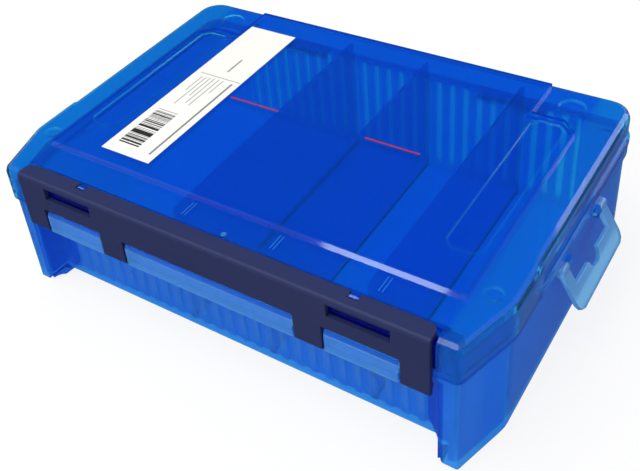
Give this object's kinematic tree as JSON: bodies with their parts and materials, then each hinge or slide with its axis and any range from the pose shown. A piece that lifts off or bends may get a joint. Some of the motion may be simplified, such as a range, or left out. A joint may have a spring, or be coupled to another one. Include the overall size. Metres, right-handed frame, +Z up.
{
  "type": "fishing tackle box",
  "caption": "Hinged-lid tackle utility box with a full-width front latch, a ribbed tray with slip-in dividers, a raised lid panel and a fold-out hanging tab.",
  "frame": {"origin": "middle of the tray's underside, on the surface that the box stands on, half way between its side walls and half way between the latch's face and the hinge side", "axes": "+X along the front towards the side with the hanging tab, +Y from the latch to the hinge, +Z up"},
  "size_m": [0.2144, 0.145, 0.0601],
  "materials": {
    "tray_plastic": "glossy translucent blue",
    "lid_plastic": "glossy translucent blue",
    "latch_plastic": "satin dark navy",
    "tab_plastic": "glossy translucent pale blue",
    "divider_plastic": "translucent blue",
    "pin_steel": "plain drawn steel",
    "label_paper": "satin sticker"
  },
  "bodies": {
    "base": {"tray": "tray_plastic", "divider_left": "divider_plastic", "divider_middle": "divider_plastic", "divider_right": "divider_plastic"},
    "lid": {"lid": "lid_plastic", "hinge_pin_left": "pin_steel", "hinge_pin_right": "pin_steel", "latch_pin_left": "pin_steel", "latch_pin_right": "pin_steel", "label": "label_paper"},
    "latch": {"latch": "latch_plastic"},
    "hang_tab": {"hang_tab": "tab_plastic"}
  },
  "joints": [
    {"name": "lid_hinge", "type": "hinge", "parent": "base", "child": "lid", "pos_m": [0, 0.0708, 0.044], "axis": [-1, 0, 0], "range_deg": [0, 115]},
    {"name": "latch_pivot", "type": "hinge", "parent": "lid", "child": "latch", "pos_m": [0, -0.06675, 0.05785], "axis": [-1, 0, 0], "range_deg": [0, 100]},
    {"name": "tab_pivot", "type": "hinge", "parent": "base", "child": "hang_tab", "pos_m": [0.1026, 0.0133, 0.0384], "axis": [0, -1, 0], "range_deg": [-28, 60]}
  ]
}
